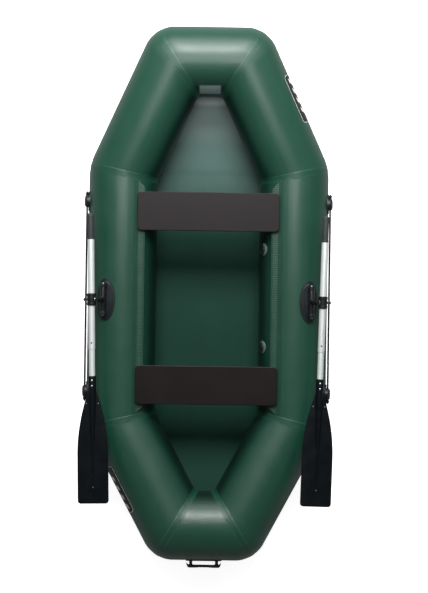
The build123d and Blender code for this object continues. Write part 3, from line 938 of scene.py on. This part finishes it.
def on_face(way, x, y, height):
    """Place on the oar's upper side, way 1, or its lower one, way -1: z off that side."""
    return at(x, y, way * height) @ Matrix.Rotation(0 if way == 1 else pi, 4, "Y")


def ring_round_oar(name, radius, width, reach, depth, edge):
    """A band round the oar with rounded edges."""
    band = cylinder(name, radius, width, sides=64, ends="NOTHING")
    weld(band)
    thicken(band, depth, -1)
    rounded(band, edge)
    return moved(band, at(0, reach, 0) @ ALONG_Y)


def oar(side, finishes):
    """What an oar carries on its drawn tubes: collar, bands, washer, button, rivets, grip and blade."""
    body = side + "_oar"
    place, pin_way = oar_frame(side)
    plastic, steel, grip, blade = [finishes[key] for key in ("plastic", "steel", "grip", "blade")]
    for node in ("_oar_upper_shaft", "_oar_lower_shaft"):
        paint(nodes[side + node], finishes["aluminium"])

    soften(body + "_collar", side + "_collar_sleeve", 1.0 * MM, body, plastic)
    for end, reach in COLLAR_BANDS.items():
        band = ring_round_oar(f"{side}_collar_band_{end}", COLLAR_RADIUS + 1.3 * MM, width=10 * MM,
                              reach=reach, depth=2.2 * MM, edge=0.9 * MM)
        settle(band, place, body, plastic)

    washer = cylinder(side + "_pin_washer", radius=10.2 * MM, depth=2.2 * MM, sides=40)
    rounded(washer, 0.7 * MM)
    centre = place.translation - pin_way * (COLLAR_RADIUS + 1.1 * MM)
    turn = pin_way.to_track_quat("Z", "Y").to_matrix().to_4x4()
    settle(washer, Matrix.Translation(centre) @ turn, body, steel)

    button = dome(side + "_spring_button", radius=3.6 * MM, height=2.4 * MM)
    settle(button, place @ on_face(1, 0, BUTTON_REACH, SHAFT_RADIUS - HEAD_SUNK), body, plastic)
    for number, reach in enumerate(RIVET_REACHES):
        for face, way in (("upper", 1), ("lower", -1)):
            rivet = dome(f"{side}_{face}_rivet_{number + 1}", radius=4.2 * MM, height=2.0 * MM)
            settle(rivet, place @ on_face(way, 0, reach, SOCKET_RADIUS - HEAD_SUNK), body, steel)

    soften(body + "_grip", side + "_hand_grip", 1.0 * MM, body, grip)
    for number, reach in enumerate(GRIP_BANDS):
        band = ring_round_oar(f"{side}_grip_band_{number + 1}", GRIP_RADIUS + 1.2 * MM, width=7 * MM,
                              reach=reach, depth=1.8 * MM, edge=0.8 * MM)
        settle(band, place, body, grip)

    soften(body + "_blade", side + "_blade", 1.6 * MM, body, blade)
    blade_ribs(side, place, blade, finishes["stud"])


BLADE_THICKNESS = 6 * MM
RIB_SPACING = 19 * MM           # between the two long ribs each side of the blade's middle
RIB_SIZE = mm(2.2, 340, 1.6)
RIB_REACH = 690 * MM            # their middles from the cross pin
RIB_DRAWN_IN = 0.32             # how far each end near the tip is drawn in, as a part of the spacing
STUD_PLACES = (mm(26, 459), mm(-26, 459), mm(0, 828))


def blade_ribs(side, place, finish, stud_highlight_finish):
    """Long thin ribs, and small black studs whose pale grey is a painted highlight, on both faces of a
    blade.
    """
    ribs, studs = [], []
    for face in (1, -1):
        for way in (-1, 1):
            rib = box("rib", RIB_SIZE, (
                way * RIB_SPACING / 2, RIB_REACH, face * (BLADE_THICKNESS / 2 + 0.5 * MM)))
            select(rib, "VERT", lambda v: v.co.y > RIB_REACH)
            bpy.ops.transform.translate(value=(-way * RIB_SPACING * RIB_DRAWN_IN, 0, 0))
            rounded(rib, 0.6 * MM, 2)
            ribs.append(rib)
        for x, y in STUD_PLACES:
            stud = dome("stud", radius=2.4 * MM, height=1.4 * MM)
            studs.append(moved(stud, on_face(face, x, y, BLADE_THICKNESS / 2)))
    for kind, pieces, look in (("ribs", ribs, finish), ("studs", studs, stud_highlight_finish)):
        joined = join(f"{side}_blade_{kind}", *pieces)
        settle(joined, place, side + "_oar", look)


# -------- lifelines
ROPE_RADIUS, LINE_LENGTH, BRAID_PITCH = mm(4.4, 979, 7)
KNOT_RADIUS = 7.5 * MM
KNOT_DRAW = 18 * MM             # how far a knot is pulled in over its holder's plate
KNOT_TURNS = ((-3.4 * MM, 24), (0, -20), (3.4 * MM, 26))    # along the line, and lean in degrees


def stopper_knot(name, way):
    """Three turns of line hauled tight side by side, and a short tail."""
    turns = [
        torus("turn", 4.0 * MM, 3.1 * MM, 28, (1.08, 1, 0.94), (0, along, 0), (pi / 2, radians(lean), 0))
        for along, lean in KNOT_TURNS]
    tail = cylinder("tail", radius=3.4 * MM, depth=9 * MM, sides=16)
    rounded(tail, 1.2 * MM, 2)
    moved(tail, at(0, way * 7 * MM, -2 * MM) @ Matrix.Rotation(radians(75), 4, "X"))
    return join(name, *turns, tail)


def lifeline(side, rope, knot_finish, holder_finish):
    """Braided line between two bonded holders, with a stopper knot against the outside of each."""
    low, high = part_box(side + "_lifeline")
    x, y, z = box_middle(side + "_lifeline")
    inset = KNOT_RADIUS + KNOT_DRAW
    line = cylinder(side + "_lifeline_rope", ROPE_RADIUS, high.y - low.y - 2 * inset, sides=28)
    rounded(line, 1.4 * MM, 3, 60)
    settle(line, at(x, y, z) @ ALONG_Y, "hull", rope, side + "_lifeline")
    for end, reach, way in (("bow", high.y - inset, 1), ("stern", low.y + inset, -1)):
        knot = stopper_knot(f"{side}_{end}_stopper_knot", way)
        settle(knot, at(x, reach, z), "hull", knot_finish)
        soften(f"{side}_{end}_rope_holder", f"{side}_{end}_line_holder", 1.0 * MM, "hull", holder_finish)


# -------- stern handle
BAR_SIZE = mm(156, 11, 19)
BAR_CUTS = (74, 68, 49, 40, 20, 0)          # mm each side of the middle
BAR_TIPS = ((73, 5, 0.95), (76, 9, 0.8))    # mm out from the middle, mm turned up, size left
GRIP_HALF_WIDTH, GRIP_RELIEF = mm(25, 1.6)  # the part that fingers close round
POST_X, NECK_LENGTH, FLARE_LENGTH = mm(58.5, 5, 6)
POST_EDGES = mm(48, 69)
PLATE_FACE = STERN_Y - TUBE_RADIUS - 2 * MM


def stern_handle(rubber):
    """Moulded carrying handle: a bar with upturned ends on two flared posts, and its bonded plate."""
    bar_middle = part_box("stern_handle")[0].y + BAR_SIZE[1] / 2
    bar_back = bar_middle + BAR_SIZE[1] / 2
    bar = box("stern_handle_bar", BAR_SIZE, (0, bar_middle, STERN_Z))
    for x in BAR_CUTS:
        for sign in (1, -1):
            cut(bar, (sign * x * MM, 0, 0), (1, 0, 0))
    for reach, lift, size in BAR_TIPS:
        select(bar, "VERT", lambda v: abs(v.co.x) > reach * MM)
        bpy.ops.transform.translate(value=(0, lift * MM, 0))
        bpy.ops.transform.resize(
            value=(1, size, size), center_override=(0, bar_middle + lift * MM, STERN_Z))
    select(bar, "VERT", lambda v: abs(v.co.x) < GRIP_HALF_WIDTH and v.co.y < bar_middle)
    bpy.ops.transform.translate(value=(0, GRIP_RELIEF, 0))
    post = PLATE_FACE - bar_back - NECK_LENGTH - FLARE_LENGTH
    for sign in (1, -1):
        select(bar, "FACE", lambda face: face.normal.y > 0.9
               and POST_EDGES[0] < sign * face.calc_center_median().x < POST_EDGES[1])
        for step, size in ((NECK_LENGTH, 0.72), (post, 1), (FLARE_LENGTH, 1.35)):
            bpy.ops.mesh.extrude_region_move(TRANSFORM_OT_translate={"value": (0, step, 0)})
            bpy.ops.transform.resize(
                value=(size, 1, size), center_override=(sign * POST_X, bar_back, STERN_Z))
    rounded(bar, 2.6 * MM, 4, 25)
    smooth(bar, 60)
    fit(bar, "hull", rubber, "stern_handle")
    plate = flat_pad("stern_handle_plate", 66 * MM, 162 * MM, thickness=4 * MM, corner=13 * MM,
                     edge=1.4 * MM)
    wrap(plate)
    settle(plate, frame_at((0, STERN_Y - TUBE_RADIUS, STERN_Z), (1, 0, 0), (0, -1, 0)), "hull", rubber)
    for side, sign in SIDES.items():
        boss = cylinder("stern_handle_boss_" + side, radius=12.5 * MM, depth=7 * MM, sides=40)
        rounded(boss, 2.4 * MM, 4)
        settle(boss, at(sign * POST_X, PLATE_FACE - 1.5 * MM, STERN_Z) @ ALONG_Y, "hull", rubber)


# -------- valves
VALVE_ANGLE = radians(-64)      # outboard of the side tube's crown
FLANGE_WIDTH = 58 * MM
FLANGE_STEPS = (mm(0, 1.5), mm(1.5, 1.5), mm(5, 1.0), mm(2, 1.5), mm(3, 0))
CAP_RIBS = 16
CAP_SIDES = CAP_RIBS * 3


def is_rib(face):
    """Every third face round a cap."""
    place = face.calc_center_median()
    number = round(atan2(place.y, place.x) / (2 * pi / CAP_SIDES) - 0.5)
    return abs(face.normal.z) < 0.1 and number % 3 == 0


def valve(end, body_finish, cap_finish):
    """Flanged valve with a ribbed screw cap on a retaining strap."""
    name = end + "_valve"
    spot = on_side_tube(1, box_middle(name)[1], VALVE_ANGLE)
    flange = oval_pad(name + "_flange", FLANGE_WIDTH, FLANGE_WIDTH, FLANGE_STEPS)
    wrap(flange)
    weld(flange)
    settle(flange, spot, "hull", body_finish, name)
    cap = cylinder(name + "_cap", radius=18.6 * MM, depth=8 * MM, centre=mm(0, 0, 7.2), sides=CAP_SIDES)
    select(cap, "FACE", is_rib)
    bpy.ops.mesh.extrude_region_shrink_fatten(TRANSFORM_OT_shrink_fatten={"value": 1.3 * MM})
    select(cap, "FACE", lambda face: face.normal.z > 0.9 and face.calc_area() > 1e-4)
    bpy.ops.mesh.inset(thickness=4 * MM)
    bpy.ops.transform.translate(value=(0, 0, -1.2 * MM))
    rounded(cap, 0.5 * MM, 2)
    bar = box("grip_bar", mm(26, 4, 3.4), mm(0, 0, 10.2))
    rounded(bar, 1.0 * MM)
    settle(join(name + "_cap", cap, bar), spot, "hull", cap_finish)
    strap = flat_pad(name + "_strap", 7 * MM, 34 * MM, thickness=1.4 * MM, corner=3 * MM, edge=0.4 * MM)
    settle(strap, spot @ at(0, 22 * MM, 4.6 * MM), "hull", cap_finish)


# -------- camera, floor and light
CAMERA_HEIGHT = 6.0
TUBE_LEVEL = 0.2                # about the height of the tubes' middles
VIEW_LENGTH = 2686.29 * MM      # what the view takes in from top to bottom at that height
SENSOR = 36                     # mm
ROLL = radians(0.82)            # the boat lies turned a little clockwise
RIGHT_SHIFT, UP_SHIFT = mm(29.7, -9.0)      # camera from the boat's middle, as it sees them


def camera():
    """Straight above the boat, looking down."""
    right = Vector((cos(ROLL), sin(ROLL), 0))
    up = Vector((-sin(ROLL), cos(ROLL), 0))
    spot = Vector((0, MIDDLE_Y, CAMERA_HEIGHT)) + right * RIGHT_SHIFT + up * UP_SHIFT
    clear()
    bpy.ops.object.camera_add(location=spot, rotation=(0, 0, ROLL))
    made = bpy.context.object
    made.name = "camera"
    made.data.sensor_width = SENSOR
    made.data.lens = SENSOR * (CAMERA_HEIGHT - TUBE_LEVEL) / VIEW_LENGTH
    bpy.context.scene.camera = made


def softbox(name, place, target, size, power, spread=180):
    """A rectangular lamp turned to its target: size in metres, power in watts, spread in degrees."""
    clear()
    bpy.ops.object.light_add(type="AREA", location=place)
    light = bpy.context.object
    light.name = name + "_softbox"
    light.data.shape = "RECTANGLE"
    light.data.size, light.data.size_y = size
    light.data.energy = power
    light.data.spread = radians(spread)
    light.rotation_euler = (Vector(target) - Vector(place)).to_track_quat("-Z", "Y").to_euler()
    light.visible_camera = False


PAPER_GLOW = 0.82               # for the camera alone
REFLECTED_PAPER = 0.22          # how pale the paper is in reflections, where 1 is as it is seen
REFLECTED_SKY = 0.108           # the same for the backdrop
SKY_LIGHT, SKY_SEEN = 0.15, 0.97    # the backdrop's strength as it gives light and as it is seen


def paper_sheet():
    """White paper under the boat, as far as the horizon."""
    ground = primitive("plane", "studio_floor", size=400, location=(0, 0, -0.5 * MM))
    paper = Finish("studio_paper", Roughness=0.9, Emission_Strength=PAPER_GLOW)
    white = paper.mix(paper.noise(0.7), (250, 250, 251), (254, 254, 254))
    paper.colour(paper.seen(REFLECTED_PAPER), (120, 122, 122), white)
    paper.feed("Emission Color", paper.mix(paper.seen(0.0), (0, 0, 0), (255, 255, 255)))
    paint(ground, paper)


def studio():
    """Paper, a white backdrop and the lamps."""
    paper_sheet()
    world = bpy.data.worlds.new("studio")
    bpy.context.scene.world = world
    sky = Sky(world)
    background = sky.tree.nodes["Background"]
    background.inputs["Color"].default_value = (1, 1, 1, 1)
    strength = sky.seen(REFLECTED_SKY) * (SKY_SEEN - SKY_LIGHT) + SKY_LIGHT
    sky.tree.links.new(strength.socket, background.inputs["Strength"])
    softbox("bow", (0, 5.4, 7.2), (0, 0.2, 0.2), (4.4, 3.0), 980)
    softbox("low", (0, 2.6, 1.35), (0, 0.95, 0.3), (2.2, 0.8), 26)
    softbox("overhead", (0, 1.4, 8.0), (0, 0.9, 0), (2.4, 3.0), 22)
    softbox("near", (0, 0.95, 2.3), (0, 0.92, 0), (1.4, 0.8), 2.3, 50)
    softbox("stern", (0, -6.5, 2.2), (0, -1, 0.3), (9.0, 3.6), 5)
    softbox("bow_wall", (0, 5.5, 2.4), (0, 0.5, 0.4), (11.0, 4.0), 20)
    for side, sign in SIDES.items():
        softbox(side + "_quarter", (sign * 4.2, 4.6, 3.6), (sign * 0.25, 0.85, 0.3), (3.5, 4.5), 55)
    bpy.context.scene.view_settings.view_transform = "Standard"


# -------- the boat
camera()
studio()
air_tubes(tube_fabric(), seam_tape_fabric())
floor_sheet(floor_fabric())
decal_patches(patch_print())
rails = rail_fabric()
rubber = moulded("black_rubber", "black_rubber", (11, 16, 19), (23, 29, 33), 0.4, shine=0.35)
plastic = moulded("black_plastic", "black_plastic", (7, 9, 11), (19, 22, 25), 0.36)
# A cylinder's map gives its side only half its height, so the turns along the line are doubled.
rope = braided_rope("rope_braid", 3, 2 * LINE_LENGTH / BRAID_PITCH)
knot_braid = braided_rope("knot_braid", 4, 3)
finishes = {
    "plastic": plastic,
    "steel": drawn_metal("zinc_steel", "steel", (176, 178, 178), (214, 216, 216), 0.28, 1.0),
    "aluminium": drawn_metal("drawn_aluminium", None, (196, 203, 201), (230, 236, 234), 0.42, 0.45),
    "grip": moulded("grip_rubber", "black_rubber", (34, 38, 40), (54, 59, 61), 0.6, 0.06, 700.0),
    "blade": moulded("blade_plastic", "black_plastic", (2, 6, 9), (7, 12, 15), 0.38, 0.05, shine=0.16),
    # The studs are black plastic; their pale grey is a painted highlight.
    "stud": moulded("stud_painted_highlight", "black_plastic", (112, 120, 120), (138, 146, 146), 0.4),
}
for side in SIDES:
    paint(nodes[side + "_seat_rail"], rails)
    oarlock(side, rubber, plastic, finishes["steel"])
    oar(side, finishes)
    lifeline(side, rope, knot_braid, rubber)
stitching(plain_thread("rail_thread", "rail_fabric", (52, 88, 76), (88, 120, 108)))
stern_handle(rubber)
soften("bow_tow_eye", "bow_tow_ring", 1.6 * MM, "hull", rubber)
for end in ("bow", "stern"):
    valve(end, moulded(end + "_valve_body", "valve_plastic", (66, 80, 76), (86, 100, 96), 0.4, 0.02),
          moulded(end + "_valve_cap_plastic", "valve_plastic", (16, 24, 23), (30, 38, 37), 0.4, 0.02))
    soften(end + "_bench_clips", end + "_bench_clip_pair", 0.8 * MM, end + "_bench", plastic)
paint(nodes["data_plate"], plate_print())
# The stern board's darker film and edge are painted shade: both boards are the same film-faced plywood.
for end, dark, light, edge in (
        ("bow", (26, 22, 23), (35, 31, 32), (96, 80, 66)),
        ("stern", (18, 14, 14), (27, 22, 22), (90, 75, 62))):
    paint(nodes[end + "_bench"], board_finish(end, dark, light, edge))
